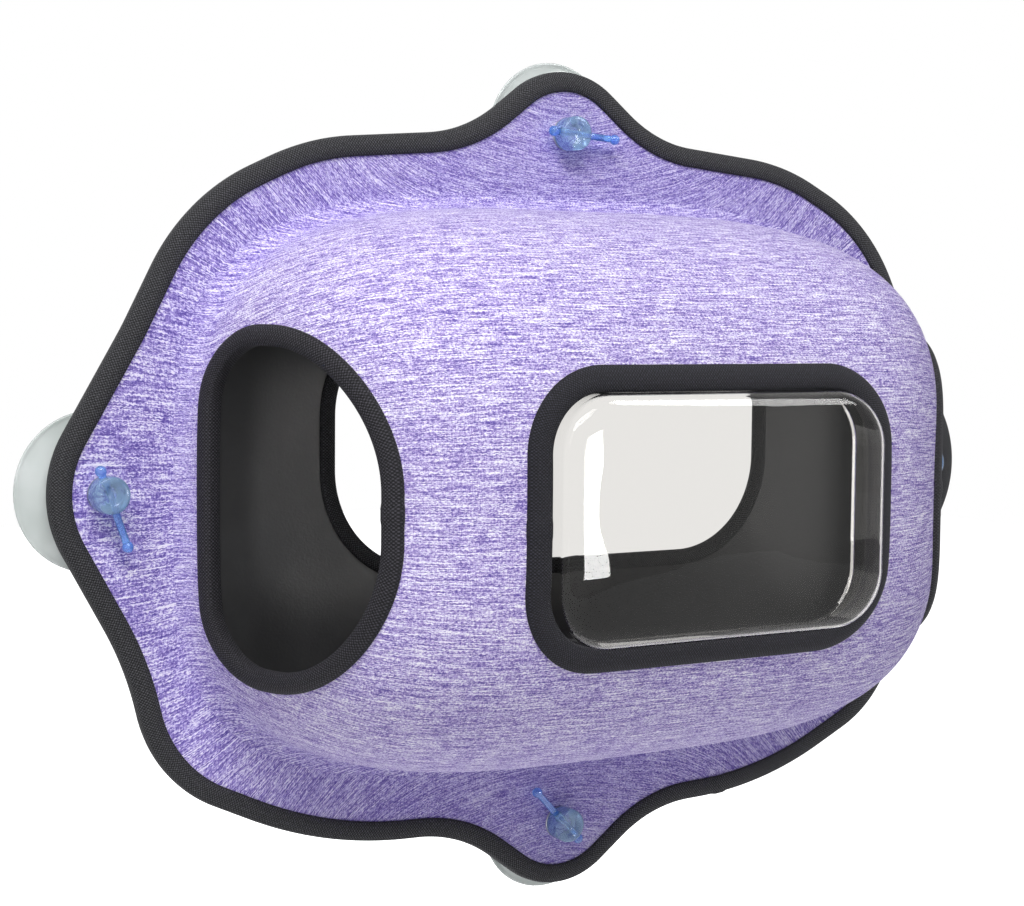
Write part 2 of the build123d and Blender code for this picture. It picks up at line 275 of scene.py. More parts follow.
def ring_turns(count):
    """Angles of the superellipse at which its points lie evenly round the bubble's foot."""
    dense = np.linspace(0, 2 * math.pi, fine_steps * 3 // 2 + 1)
    a, b, power = bubble_section(np.array(0.0), 0.0)
    x, z = unit_ring(dense, power)
    run = np.concatenate([[0], np.cumsum(np.hypot(np.diff(x * a), np.diff(z * b)))])
    return np.interp(np.linspace(0, run[-1], count + 1), run, dense)


def rim_reach(x, z, inset):
    """Distance from the pod's middle to the flange's edge, in the direction of each point."""
    edge = flange_loop + flange_inward * inset
    angle = np.arctan2(edge[:, 1], edge[:, 0])
    order = np.argsort(angle)
    reach = np.hypot(*edge[order].T)
    return np.interp(np.arctan2(z, x), angle[order], reach, period=2 * math.pi)


def pressed_surface(skin, around, wall_rows, rim_inset):
    """Points of the pressed sheet from rim to front, and where each lay in the flat fabric."""
    turns = ring_turns(around)
    dense = np.linspace(0, bubble_depth * front_share, fine_steps) + skin
    a, b, power = bubble_section(dense, skin)
    fall = np.diff(dense)
    run_a = np.concatenate([[0], np.cumsum(np.hypot(np.diff(a), fall))])
    run_b = np.concatenate([[0], np.cumsum(np.hypot(np.diff(b), fall))])
    shares = np.linspace(0, 1, wall_rows) ** row_crowding
    depths = np.interp(shares * run_b[-1], run_b, dense)
    rows, flats = [], []
    held = corner_hold * np.sin(2 * turns) ** 2
    for depth in depths:
        half_a, half_b, corner = bubble_section(depth, skin)
        x, z = unit_ring(turns, corner)
        flat_a = a[-1] + run_a[-1] - np.interp(depth, dense, run_a)
        flat_b = b[-1] + run_b[-1] - np.interp(depth, dense, run_b)
        drawn = 1 - held * (1 - depth / bubble_depth)
        level = np.full_like(x, -flange_front - depth)
        rows.append(np.stack([x * half_a, level, z * half_b], axis=1))
        flats.append(np.stack([x * flat_a * drawn, z * flat_b * drawn], axis=1))
    foot, foot_flat = rows[0], flats[0]
    reach = rim_reach(foot[:, 0], foot[:, 2], rim_inset) / np.hypot(foot[:, 0], foot[:, 2])
    for share in np.linspace(0, 1, flange_rows)[1:]:
        grown = foot.copy()
        grown[:, 0] *= 1 + (reach - 1) * share
        grown[:, 2] *= 1 + (reach - 1) * share
        rows.insert(0, grown)
        flats.insert(0, foot_flat + (grown - foot)[:, [0, 2]])
    return np.array(rows), np.array(flats)


def points_of(piece):
    """The piece's points as rows of x, y and z."""
    points = np.zeros(len(piece.data.vertices) * 3, np.float32)
    piece.data.vertices.foreach_get("co", points)
    return points.reshape(-1, 3)


def corner_vertices(piece):
    """For each corner of each face, the number of its vertex."""
    numbers = np.zeros(len(piece.data.loops), int)
    piece.data.loops.foreach_get("vertex_index", numbers)
    return numbers


def lay_flange_threads(piece):
    """Gives the flat flange its own bent threads, which stop at the bubble's foot."""
    mesh = piece.data
    corners = points_of(piece)[corner_vertices(piece)]
    flat_corner = corners[:, 1] > -flange_front - 1e-6
    flat_face = flat_corner.reshape(-1, 4).all(axis=1).repeat(4)
    x, z = corners[:, 0], corners[:, 2]
    rise = thread_rise * np.tanh((np.abs(x) - rise_at) / rise_width) * z / rise_height
    beyond = np.clip((np.abs(z) - lobe_from) / (flange_half_height - lobe_from), 0, 1)
    dip = lobe_hold * beyond * np.exp(-((x / lobe_half_width) ** 2)) * np.sign(z)
    threads = np.zeros(len(mesh.loops) * 2, np.float32)
    mesh.uv_layers[0].data.foreach_get("uv", threads)
    threads = threads.reshape(-1, 2)
    threads[flat_face] = np.stack([x, z - rise + dip], axis=1)[flat_face]
    mesh.uv_layers[0].data.foreach_set("uv", threads.reshape(-1))


def strip_mesh(name, rows, flats):
    """A grid primitive whose points are put in place row by row, with its ends welded together."""
    count_rows, count_around = rows.shape[:2]
    bpy.ops.mesh.primitive_grid_add(x_subdivisions=count_around - 1, y_subdivisions=count_rows - 1)
    piece = bpy.context.object
    piece.name = piece.data.name = name
    piece.data.vertices.foreach_set("co", rows.reshape(-1).astype(np.float32))
    flat = flats.reshape(-1, 2)[corner_vertices(piece)]
    piece.data.uv_layers[0].data.foreach_set("uv", flat.reshape(-1).astype(np.float32))
    bpy.ops.object.mode_set(mode="EDIT")
    bpy.ops.mesh.select_all(action="SELECT")
    bpy.ops.mesh.remove_doubles(threshold=1e-6)
    bpy.ops.mesh.normals_make_consistent(inside=False)
    bpy.ops.object.mode_set(mode="OBJECT")
    bpy.ops.object.shade_smooth()
    return piece


def fill_front(piece):
    """Closes the ring at the front of the bubble, where the window is cut."""
    bpy.ops.object.mode_set(mode="EDIT")
    bpy.ops.mesh.select_all(action="DESELECT")
    bpy.ops.object.mode_set(mode="OBJECT")
    front = min(v.co.y for v in piece.data.vertices)
    for vertex in piece.data.vertices:
        vertex.select = vertex.co.y < front + 1e-5
    bpy.ops.object.mode_set(mode="EDIT")
    bpy.ops.mesh.select_mode(type="VERT")
    bpy.ops.mesh.edge_face_add()
    bpy.ops.object.mode_set(mode="OBJECT")


def apply_modifier(piece, kind, **settings):
    bpy.context.view_layer.objects.active = piece
    modifier = piece.modifiers.new(kind.lower(), kind)
    for key, value in settings.items():
        setattr(modifier, key, value)
    bpy.ops.object.modifier_apply(modifier=modifier.name)


rows, flats = pressed_surface(0.0, around=420, wall_rows=62, rim_inset=tape_thickness)
cover = strip_mesh("linen_cover", rows, flats)
lay_flange_threads(cover)
fill_front(cover)
apply_modifier(cover, "SOLIDIFY", thickness=cover_thickness, offset=-1)

# Frames of the three openings: the entries lie on the leaning end walls, the window in the front
entry_foot_gap = 0.010
entry_length = 0.141
entry_height = 0.202
entry_drop = 0.003
entry_foot_corner = 0.045
entry_front_corner = 0.088
entry_front_depth = 0.138
entry_band = 0.011
window_width = 0.252
window_height = 0.168
window_drop = 0.006
window_corner = 0.048
window_band = 0.014
front_half_length = bubble_section(np.array(entry_front_depth), 0.0)[0]
wall_run = math.hypot(bubble_half_length - front_half_length, entry_front_depth)
wall_step = ((bubble_half_length - front_half_length) / wall_run, entry_front_depth / wall_run)


def entry_place(side):
    """For one end wall, a function that puts points of its plane in place, at a lift from it."""
    outward = np.array((side * wall_step[1], -wall_step[0], 0))

    def place(points, lift=0.0):
        along, up = points[:, 0], points[:, 1]
        base = np.stack([
            side * (bubble_half_length - along * wall_step[0]),
            -flange_front - along * wall_step[1],
            up - entry_drop,
        ], axis=1)
        return base + outward * lift

    return place


def window_place(points, lift=0.0):
    level = np.full(len(points), -lift)
    return np.stack([points[:, 0], level, points[:, 1] - window_drop], axis=1)


def rounded_box(low, high, half_height, low_radius, high_radius, pitch=0.003):
    corners = [(low, half_height), (low, -half_height), (high, -half_height), (high, half_height)]
    return rounded_loop(corners, [low_radius, low_radius, high_radius, high_radius], pitch)


entry_loop, entry_inward = rounded_box(
    entry_foot_gap, entry_foot_gap + entry_length, entry_height / 2,
    entry_foot_corner, entry_front_corner,
)
window_loop, window_inward = rounded_box(
    -window_width / 2, window_width / 2, window_height / 2, window_corner, window_corner
)


def cutter(name, loop, place, low, high):
    """A prism through an opening, used once to cut the pressed sheets."""
    near, far = place(loop, low), place(loop, high)
    bpy.ops.mesh.primitive_circle_add(vertices=len(loop), fill_type="NGON")
    prism = bpy.context.object
    prism.name = name
    prism.data.vertices.foreach_set("co", near.reshape(-1).astype(np.float32))
    bpy.ops.object.mode_set(mode="EDIT")
    bpy.ops.mesh.select_all(action="SELECT")
    bpy.ops.mesh.extrude_region_move(TRANSFORM_OT_translate={"value": tuple(far[0] - near[0])})
    bpy.ops.mesh.select_all(action="SELECT")
    bpy.ops.mesh.normals_make_consistent(inside=False)
    bpy.ops.object.mode_set(mode="OBJECT")
    return prism


entry_cut_loop = entry_loop + entry_inward * (entry_band - tape_thickness)
window_cut_loop = window_loop + window_inward * (window_band - tape_thickness)
entry_cut_reach = 0.05
window_cut_levels = (0.10, 0.21)
both_sides = ((-1, "left"), (1, "right"))
cutters = [
    cutter(f"{name}_cut", entry_cut_loop, entry_place(side), -entry_cut_reach, entry_cut_reach)
    for side, name in both_sides
]
cutters.append(cutter("window_cut", window_cut_loop, window_place, *window_cut_levels))


def cut_openings(piece):
    for prism in cutters:
        apply_modifier(piece, "BOOLEAN", object=prism, operation="DIFFERENCE", solver="EXACT")


cut_openings(cover)


def shared_group(name, inputs, outputs):
    """A shader node group with its own sockets, and the makers of its nodes."""
    group = bpy.data.node_groups.new(name, "ShaderNodeTree")
    for socket, kind, value in inputs:
        made = group.interface.new_socket(socket, in_out="INPUT", socket_type=kind)
        if value is not None:
            made.default_value = value
    for socket, kind in outputs:
        group.interface.new_socket(socket, in_out="OUTPUT", socket_type=kind)
    entry = group.nodes.new("NodeGroupInput")
    leave = group.nodes.new("NodeGroupOutput")
    node, feed = node_makers(group)

    def calc(operation, *values):
        made = node("Math", operation=operation)
        for socket, value in zip(made.inputs, values):
            feed(socket, value)
        return made.outputs[0]

    return group, entry, leave, node, feed, calc


# Woven slub yarns: thin streaks along both threads, which lie in the small zigzag of the weave
zigzag_length = 0.0030
zigzag_height = 0.0062
zigzag_sway = 2.6
crimp = 0.00016
bright_from, bright_gain = 0.105, 7.0
dark_from, dark_gain = -0.12, 4.0
weave, entry, leave, node, feed, calc = shared_group(
    "slub_weave",
    [("Vector", "NodeSocketVector", None), ("Slub Length", "NodeSocketFloat", 42.0),
     ("Yarns", "NodeSocketFloat", 1500.0)],
    [("Tone", "NodeSocketFloat"), ("Height", "NodeSocketFloat")],
)
axes = node("SeparateXYZ", Vector=entry.outputs["Vector"])
across, up = axes.outputs["X"], axes.outputs["Y"]


def streaks(along, beside, long_scale, thin_scale, offset):
    """Noise drawn out along one thread; the offset takes another slice of it."""
    x, y = calc("MULTIPLY", along, long_scale), calc("MULTIPLY", beside, thin_scale)
    vector = node("CombineXYZ", X=x, Y=y, Z=offset)
    noise = node("TexNoise", Vector=vector.outputs[0], Scale=1.0, Detail=2.0, Roughness=0.6)
    return calc("SUBTRACT", noise.outputs["Fac"], 0.5)


yarns = entry.outputs["Yarns"]
slub = entry.outputs["Slub Length"]
sway = calc("SINE", calc("MULTIPLY", up, 2 * math.pi / zigzag_height))
sway = calc("MULTIPLY", sway, zigzag_sway)
zigzag = calc("SINE", calc("MULTIPLY_ADD", across, 2 * math.pi / zigzag_length, sway))
crimped = calc("MULTIPLY_ADD", zigzag, crimp, up)


def of_yarns(share):
    return calc("MULTIPLY", yarns, share)


def of_slubs(share):
    return calc("MULTIPLY", slub, share)


speck = streaks(across, crimped, of_yarns(0.52), yarns, 1.7)
fine_speck = streaks(up, across, of_yarns(0.80), of_yarns(1.25), 4.4)
weft = streaks(across, crimped, of_slubs(1.4), of_yarns(1.15), 5.2)
short_weft = streaks(across, crimped, of_slubs(5.5), of_yarns(1.4), 7.7)
warp = streaks(up, across, of_slubs(3.4), yarns, 9.3)
long_weft = streaks(across, up, of_slubs(0.8), of_yarns(1.1), 12.6)
mottle = streaks(across, up, 24.0, 55.0, 3.1)


def summed(calc, total, *parts):
    """The total with each part added at its strength."""
    for part, strength in parts:
        total = calc("MULTIPLY_ADD", part, strength, total)
    return total


bright_slub = calc("MAXIMUM", calc("SUBTRACT", long_weft, bright_from), 0.0)
dark_slub = calc("MAXIMUM", calc("SUBTRACT", dark_from, long_weft), 0.0)
tone = summed(calc, 0.5, (speck, 1.5), (fine_speck, 1.1), (weft, 2.2), (short_weft, 1.9),
              (warp, 0.7), (mottle, 0.10), (zigzag, 0.08))
tone = calc("ADD", tone, calc("MULTIPLY", bright_slub, bright_gain))
tone = calc("SUBTRACT", tone, calc("MULTIPLY", dark_slub, dark_gain))
feed(leave.inputs["Tone"], tone)
height = summed(calc, 0.5, (speck, 1.0), (weft, 1.2), (short_weft, 0.9), (zigzag, 0.10))
feed(leave.inputs["Height"], height)


def toned(node, mask, *stops):
    """The colours of a ramp over a mask, from stops of (position, red, green, blue)."""
    ramp = node("ValToRGB", Fac=mask)
    for stop in stops[1:-1]:
        ramp.color_ramp.elements.new(stop[0])
    for element, (position, *colour) in zip(ramp.color_ramp.elements, stops):
        element.position, element.color = position, (*colour, 1)
    return ramp.outputs["Color"]


linen, shader, node, feed = new_material("lavender_linen")
uv = node("UVMap", uv_map="UVMap")
threads = node(
    "Group", node_tree=weave, Vector=uv.outputs["UV"], Slub_Length=42.0, Yarns=1500.0
)
dyed = toned(
    node, threads.outputs["Tone"],
    (0.05, 0.115, 0.080, 0.36), (0.5, 0.335, 0.258, 0.660), (1.0, 0.88, 0.84, 0.99),
)
stretched = toned(
    node, threads.outputs["Tone"],
    (0.05, 0.130, 0.092, 0.38), (0.5, 0.445, 0.352, 0.705), (1.0, 0.94, 0.92, 1.0),
)
stretch_depth = 0.03
spot = node("TexCoord").outputs["Object"]
level = node("SeparateXYZ", Vector=spot)
pull = node(
    "MapRange", Value=level.outputs["Y"], From_Min=-flange_front,
    From_Max=-flange_front - stretch_depth,
)
colour = node("Mix", data_type="RGBA", Factor=pull.outputs["Result"], A=dyed, B=stretched)
feed(shader.inputs["Base Color"], colour.outputs["Result"])
feed(shader.inputs["Roughness"], 0.88)
feed(shader.inputs["Specular IOR Level"], 0.12)
relief = node("Bump", Strength=0.55, Distance=0.0005, Height=threads.outputs["Height"])
feed(shader.inputs["Normal"], relief.outputs["Normal"])
cover.data.materials.append(linen)
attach(cover, "pod")
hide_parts("outer_cover")


# Inner lining: a brushed black knit bonded to the inside of the foam. It shows through the entries
# and the window, which are cut in it as in the cover.
lining_thickness = 0.0008
rows, flats = pressed_surface(
    -laminate + lining_thickness, around=300, wall_rows=44, rim_inset=tape_thickness
)
lining = strip_mesh("brushed_lining", rows, flats)
fill_front(lining)
apply_modifier(lining, "SOLIDIFY", thickness=lining_thickness, offset=-1)
cut_openings(lining)
knit, shader, node, feed = new_material("brushed_knit")
uv = node("UVMap", uv_map="UVMap")
nap = node("TexNoise", Vector=uv.outputs["UV"], Scale=900.0, Detail=4.0, Roughness=0.7)
shade = toned(
    node, nap.outputs["Fac"], (0.3, 0.004, 0.004, 0.006), (0.75, 0.017, 0.016, 0.021)
)
feed(shader.inputs["Base Color"], shade)
feed(shader.inputs["Roughness"], 0.95)
feed(shader.inputs["Sheen Weight"], 0.05)
relief = node("Bump", Strength=0.5, Distance=0.0006, Height=nap.outputs["Fac"])
feed(shader.inputs["Normal"], relief.outputs["Normal"])
lining.data.materials.append(knit)
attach(lining, "pod")
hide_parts("inner_lining")


# Foam shell: the closed foam between the cover and the lining, pressed with them. The bindings
# are folded over its cut edges, so only its thickness is felt.
foam_thickness = laminate - cover_thickness - lining_thickness
rows, flats = pressed_surface(
    -cover_thickness, around=260, wall_rows=40, rim_inset=tape_thickness
)
foam = strip_mesh("closed_foam", rows, flats)
fill_front(foam)
apply_modifier(foam, "SOLIDIFY", thickness=foam_thickness, offset=-1)
cut_openings(foam)
cells_paint, shader, node, feed = new_material("closed_foam")
spot = node("TexCoord").outputs["Object"]
cells = node("TexVoronoi", Vector=spot, Scale=900.0)
shade = toned(
    node, cells.outputs["Distance"], (0.0, 0.012, 0.012, 0.014), (1.0, 0.045, 0.045, 0.05)
)
feed(shader.inputs["Base Color"], shade)
feed(shader.inputs["Roughness"], 0.9)
relief = node("Bump", Strength=0.4, Distance=0.0004, Height=cells.outputs["Distance"])
feed(shader.inputs["Normal"], relief.outputs["Normal"])
foam.data.materials.append(cells_paint)
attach(foam, "pod")
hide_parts("foam_shell")

for prism in cutters:
    bpy.data.objects.remove(prism)


# Rim binding: ribbed charcoal tape folded over the flange's edge and stitched down, with one
# lapped joint at the lower right.
lap_length = 0.012
lap_ramp = 0.0015
lap_rise = 0.0005
lap_shift = 0.0006
tape_edge = 0.001


def folded_tape(name, loop, inward, profile, settle, lap_at=None):
    """Tape folded over an edge: profile has (inset, lift) across it, settle places a row."""
    steps = np.linalg.norm(np.roll(loop, -1, 0) - loop, axis=1)
    run = np.concatenate([[0], np.cumsum(steps)])
    lap = np.zeros(len(loop))
    if lap_at is not None:
        joint = np.argmin(np.linalg.norm(loop - np.array(lap_at), axis=1))
        off = np.abs(run[:-1] - run[joint])
        lap = np.clip((lap_length / 2 - off) / lap_ramp, 0, 1)
    rows, flats = [], []
    profile = np.array(profile)
    middle_lift = profile[:, 1].mean()
    across = np.concatenate([[0], np.cumsum(np.linalg.norm(np.diff(profile, axis=0), axis=1))])
    for (inset, lift), width in zip(profile, across):
        raised = lift + np.sign(lift - middle_lift) * lap_rise * lap
        shifted = inset - lap_shift * lap * (inset < tape_edge)
        row = settle(loop + inward * shifted[:, None], raised)
        rows.append(np.concatenate([row, row[:1]]))
        flats.append(np.stack([run, np.full(len(run), width)], axis=1))
    return strip_mesh(name, np.array(rows), np.array(flats))


tape_crown = 0.0015
crown_shares = (0.12, 0.25, 0.4, 0.55, 0.7, 0.82)


def fold_profile(band, top, bottom, back_band):
    """Across the tape: its front leg, the fold round the cut edge, the back leg and the inside."""
    t = tape_thickness
    half = (top - bottom) / 2
    front = [(0.0002, top - t), (0.0, top - 0.4 * t), (0.0004, top)]
    for share in crown_shares:
        front.append((share * band, top + tape_crown * math.sin(math.pi * share**0.8)))
    front.append((band - 0.0012, top + 0.0001))
    fold = []
    for turn in np.linspace(math.radians(75), math.radians(-75), 7):
        fold.append((band - 0.0008 + 0.0018 * math.cos(turn), top - half + half * math.sin(turn)))
    start = band - back_band
    back = [
        (band - 0.0015, bottom), (band - 0.4 * back_band, bottom - 0.0002),
        (start + 0.0006, bottom), (start, bottom + 0.4 * t), (start + 0.0002, bottom + t),
    ]
    inside = [(band - t, bottom + t), (band - t, top - t)]
    return front + fold + back + inside


def on_flange(points, depth):
    depth = np.broadcast_to(depth, len(points))
    return np.stack([points[:, 0], -flange_front - depth, points[:, 1]], axis=1)


# Woven ribs, with a dashed row of stitches along the tape's edge
yarn_pitch = 0.0021
stitch_half_width = 0.0003
stitch_pitch = 0.0030
stitch_gap_share = 0.28
ribs, entry, leave, node, feed, calc = shared_group(
    "tape_ribs",
    [("Vector", "NodeSocketVector", None), ("Pitch", "NodeSocketFloat", 0.0013),
     ("Stitch Row", "NodeSocketFloat", 0.008)],
    [("Tone", "NodeSocketFloat"), ("Height", "NodeSocketFloat"), ("Stitch", "NodeSocketFloat")],
)
axes = node("SeparateXYZ", Vector=entry.outputs["Vector"])
along, across = axes.outputs["X"], axes.outputs["Y"]
wave = calc("SINE", calc("DIVIDE", calc("MULTIPLY", along, 2 * math.pi), entry.outputs["Pitch"]))
fuzz_at = node("CombineXYZ", X=calc("MULTIPLY", along, 1600.0), Y=calc("MULTIPLY", across, 500.0))
fuzz = node("TexNoise", Vector=fuzz_at.outputs[0], Scale=1.0, Detail=3.0)
yarn_wave = calc("SINE", calc("MULTIPLY", across, 2 * math.pi / yarn_pitch))
row_gap = calc("ABSOLUTE", calc("SUBTRACT", across, entry.outputs["Stitch Row"]))
on_row = calc("LESS_THAN", row_gap, stitch_half_width)
dash = calc("GREATER_THAN", calc("FRACT", calc("DIVIDE", along, stitch_pitch)), stitch_gap_share)
stitch = calc("MULTIPLY", on_row, dash)
knot = calc("MULTIPLY", wave, yarn_wave)
fluff = calc("SUBTRACT", fuzz.outputs["Fac"], 0.5)
height = summed(calc, 0.5, (knot, 0.50), (wave, 0.12), (fluff, 0.5), (stitch, 0.7))
feed(leave.inputs["Height"], height)
feed(leave.inputs["Tone"], summed(calc, fuzz.outputs["Fac"], (knot, 0.42), (wave, 0.08)))
feed(leave.inputs["Stitch"], stitch)


def tape_material(name, dark, light, thread, pitch, stitch_row):
    material, shader, node, feed = new_material(name)
    uv = node("UVMap", uv_map="UVMap")
    woven = node(
        "Group", node_tree=ribs, Vector=uv.outputs["UV"], Pitch=pitch, Stitch_Row=stitch_row
    )
    yarn = toned(node, woven.outputs["Tone"], (0.40, *dark), (0.88, *light))
    sewn = node("Mix", data_type="RGBA", Factor=woven.outputs["Stitch"], A=yarn, B=(*thread, 1))
    feed(shader.inputs["Base Color"], sewn.outputs["Result"])
    feed(shader.inputs["Roughness"], 0.8)
    feed(shader.inputs["Specular IOR Level"], 0.25)
    relief = node("Bump", Strength=0.7, Distance=0.0005, Height=woven.outputs["Height"])
    feed(shader.inputs["Normal"], relief.outputs["Normal"])
    return material


rim_band = 0.0115
rear_depth = standoff - flange_front
charcoal_tape = tape_material(
    "charcoal_tape", dark=(0.008, 0.008, 0.009), light=(0.082, 0.082, 0.090),
    thread=(0.016, 0.016, 0.018), pitch=0.0018, stitch_row=0.0016,
)
rim_profile = fold_profile(rim_band, tape_thickness, rear_depth - tape_thickness, rim_band)
rim_profile = [(rim_band - inset, depth) for inset, depth in rim_profile]
rim_lap = (0.127, -0.2125)
rim = folded_tape("rim_tape", flange_loop, flange_inward, rim_profile, on_flange, rim_lap)
rim.data.materials.append(charcoal_tape)
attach(rim, "pod")
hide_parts("rim_binding")


# Entry bindings: the same tape in black, folded over the foam's cut edge round each side entry.
# The front leg lies on the cover, the back leg on the lining, and the joint is at the front.
halvings = 32


def settle_on_bubble(place, low, high):
    """Moves each point along the opening's direction until it lies on the wanted skin."""

    def settle(points, skin):
        near, far = place(points, low), place(points, high)
        low_share, high_share = np.zeros(len(points)), np.ones(len(points))
        for _ in range(halvings):
            share = (low_share + high_share) / 2
            at = near + (far - near) * share[:, None]
            a, b, power = bubble_section(-at[:, 1] - flange_front, skin)
            beyond = -at[:, 1] - flange_front - skin > bubble_depth * 0.9999
            outside = (np.abs(at[:, 0] / a) ** power + np.abs(at[:, 2] / b) ** power > 1) | beyond
            high_share = np.where(outside, share, high_share)
            low_share = np.where(outside, low_share, share)
        return near + (far - near) * low_share[:, None]

    return settle


black_tape = tape_material(
    "black_tape", dark=(0.002, 0.002, 0.003), light=(0.054, 0.051, 0.062),
    thread=(0.009, 0.009, 0.011), pitch=0.0020, stitch_row=0.0018,
)
tape_back = -laminate - tape_thickness
back_leg_less = 0.0015
entry_profile = fold_profile(entry_band, tape_thickness, tape_back, entry_band - back_leg_less)
entry_lap = (entry_foot_gap + entry_length, 0.004)
entry_reach = 0.06
for side, name in both_sides:
    settle = settle_on_bubble(entry_place(side), -entry_reach, entry_reach)
    entry_tape = folded_tape(
        f"{name}_entry_tape", entry_loop, entry_inward, entry_profile, settle, entry_lap
    )
    entry_tape.data.materials.append(black_tape)
    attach(entry_tape, "pod")
    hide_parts(f"{name}_entry_binding")


# Window binding: wider blue-black tape folded round the window's edge, with its joint at the left.
# The clear dome sits in it.
navy_tape = tape_material(
    "navy_tape", dark=(0.001, 0.001, 0.002), light=(0.030, 0.029, 0.042),
    thread=(0.009, 0.009, 0.013), pitch=0.0018, stitch_row=0.0018,
)
window_profile = fold_profile(window_band, tape_thickness, tape_back, window_band - back_leg_less)
window_lap = (-window_width / 2, -0.004)
settle = settle_on_bubble(window_place, low=0.08, high=0.20)
window_tape = folded_tape(
    "window_tape", window_loop, window_inward, window_profile, settle, window_lap
)
window_tape.data.materials.append(navy_tape)
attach(window_tape, "pod")
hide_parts("window_binding")


# Clear dome: a tray pressed from clear sheet, its walls rounded over into a nearly flat front. The
# front stands about 8 mm out of the bubble, as in the photograph and lower than on the solid.
dome_sheet = 0.0012
dome_gap = 0.00025
dome_edge = 0.007
dome_draft = 0.001
dome_edge_stretch = (1.0, 1.7)
dome_half_width = window_width / 2 - window_band - dome_gap
dome_half_height = window_height / 2 - window_band - dome_gap
dome_corner = window_corner - window_band - dome_gap
dome_front = 0.196
dome_back = -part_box("bubble_window")[1].y
dome_crown = 0.0012
dome_wall_rows = 8
dome_bend_rows = 9
dome_face_rows = 20
dome_face_end = 0.02
dome_loop, dome_inward = rounded_box(
    -dome_half_width, dome_half_width, dome_half_height, dome_corner, dome_corner
)
rows = []
for share in np.linspace(0, 1, dome_wall_rows):
    level = dome_back + (dome_front - dome_edge - dome_back) * share
    rows.append(window_place(dome_loop + dome_inward * dome_draft * share, level))
dome_inward = dome_inward * dome_edge_stretch
shoulder_loop = dome_loop + dome_inward * dome_draft
for turn in np.linspace(0, math.pi / 2, dome_bend_rows)[1:]:
    inset = dome_edge * (1 - math.cos(turn))
    level = dome_front - dome_edge * (1 - math.sin(turn))
    rows.append(window_place(shoulder_loop + dome_inward * inset, level))
face_loop = shoulder_loop + dome_inward * dome_edge
for share in np.linspace(1, dome_face_end, dome_face_rows)[1:]:
    rows.append(window_place(face_loop * share, dome_front + dome_crown * (1 - share**2)))
rows = np.array(rows)
rows = np.concatenate([rows, rows[:, :1]], axis=1)
dome = strip_mesh("clear_dome", rows, rows[:, :, [0, 2]])
fill_front(dome)
apply_modifier(dome, "SOLIDIFY", thickness=dome_sheet, offset=-1)
bpy.ops.object.shade_smooth()
clear, shader, node, feed = new_material("clear_sheet")
# The clear sheet gets a warm grey tint, which darkens everything seen through it. This is painted
# shade standing in for the dark inside of the pod.
feed(shader.inputs["Base Color"], (0.80, 0.785, 0.76, 1))
feed(shader.inputs["Transmission Weight"], 1.0)
feed(shader.inputs["IOR"], 1.25)
feed(shader.inputs["Roughness"], 0.0)
spot = node("TexCoord").outputs["Object"]
wobble = node("TexNoise", Vector=spot, Scale=14.0, Detail=1.0)
relief = node("Bump", Strength=0.12, Distance=0.004, Height=wobble.outputs["Fac"])
feed(shader.inputs["Normal"], relief.outputs["Normal"])
dome.data.materials.append(clear)
dome.visible_shadow = False
dome.visible_diffuse = False
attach(dome, "pod")
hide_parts("bubble_window")


# Rear board: stiff black sheet behind the flange, with the outlook cut in it. The solid itself
# shows here, with the board's material, and charcoal tape is folded over the outlook's edge.
board, shader, node, feed = new_material("black_board")
spot = node("TexCoord").outputs["Object"]
grain = node("TexNoise", Vector=spot, Scale=700.0, Detail=3.0)
scuff = node("TexNoise", Vector=spot, Scale=24.0, Detail=5.0, Roughness=0.6)
shade = toned(
    node, scuff.outputs["Fac"], (0.35, 0.014, 0.014, 0.015), (0.7, 0.024, 0.024, 0.026)
)
feed(shader.inputs["Base Color"], shade)
gloss = node("MapRange", Value=scuff.outputs["Fac"], To_Min=0.38, To_Max=0.62)
feed(shader.inputs["Roughness"], gloss.outputs["Result"])
relief = node("Bump", Strength=0.25, Distance=0.0004, Height=grain.outputs["Fac"])
feed(shader.inputs["Normal"], relief.outputs["Normal"])
board_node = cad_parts["rear_board"]
board_node.data.materials.clear()
board_node.data.materials.append(board)

outlook_width = 0.330
outlook_height = 0.172
outlook_rise = 0.028
outlook_corner = 0.070
outlook_band = 0.009
board_thickness = 0.002
outlook_loop, outlook_inward = rounded_box(
    -outlook_width / 2, outlook_width / 2, outlook_height / 2, outlook_corner, outlook_corner
)
board_front = standoff + board_thickness - flange_front
outlook_profile = fold_profile(
    outlook_band, board_front + tape_thickness, rear_depth - tape_thickness, outlook_band
)


def on_board(points, depth):
    return on_flange(points + (0, outlook_rise), depth)


outlook_tape = folded_tape(
    "outlook_tape", outlook_loop, outlook_inward, outlook_profile, on_board
)
outlook_tape.data.materials.append(charcoal_tape)
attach(outlook_tape, "pod")
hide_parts("outlook_binding")


# Cushion: a loose black pad that lies in the bubble's belly, blown up a little like a filled pad
# and kept just clear of the lining that it rests on.
cushion_inset = 0.0045
cushion_voxel = 0.005
cushion_travel = 0.007
smooth_rounds = 3
cushion_clearance = 0.0005
cushion_skin = -laminate - cushion_clearance
blow_steps = 20
cushion_low, cushion_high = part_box("floor_cushion")
cushion_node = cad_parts["floor_cushion"]
bpy.ops.object.select_all(action="DESELECT")
bpy.context.view_layer.objects.active = cushion_node
cushion_node.select_set(True)
bpy.ops.object.duplicate()
cushion = bpy.context.object
cushion.name = cushion.data.name = "plush_cushion"
bpy.ops.object.mode_set(mode="EDIT")
bpy.ops.mesh.select_all(action="SELECT")
bpy.ops.mesh.remove_doubles(threshold=1e-6)
bpy.ops.mesh.normals_make_consistent(inside=False)
bpy.ops.transform.shrink_fatten(value=-cushion_inset)
bpy.ops.object.mode_set(mode="OBJECT")
apply_modifier(cushion, "REMESH", mode="VOXEL", voxel_size=cushion_voxel)
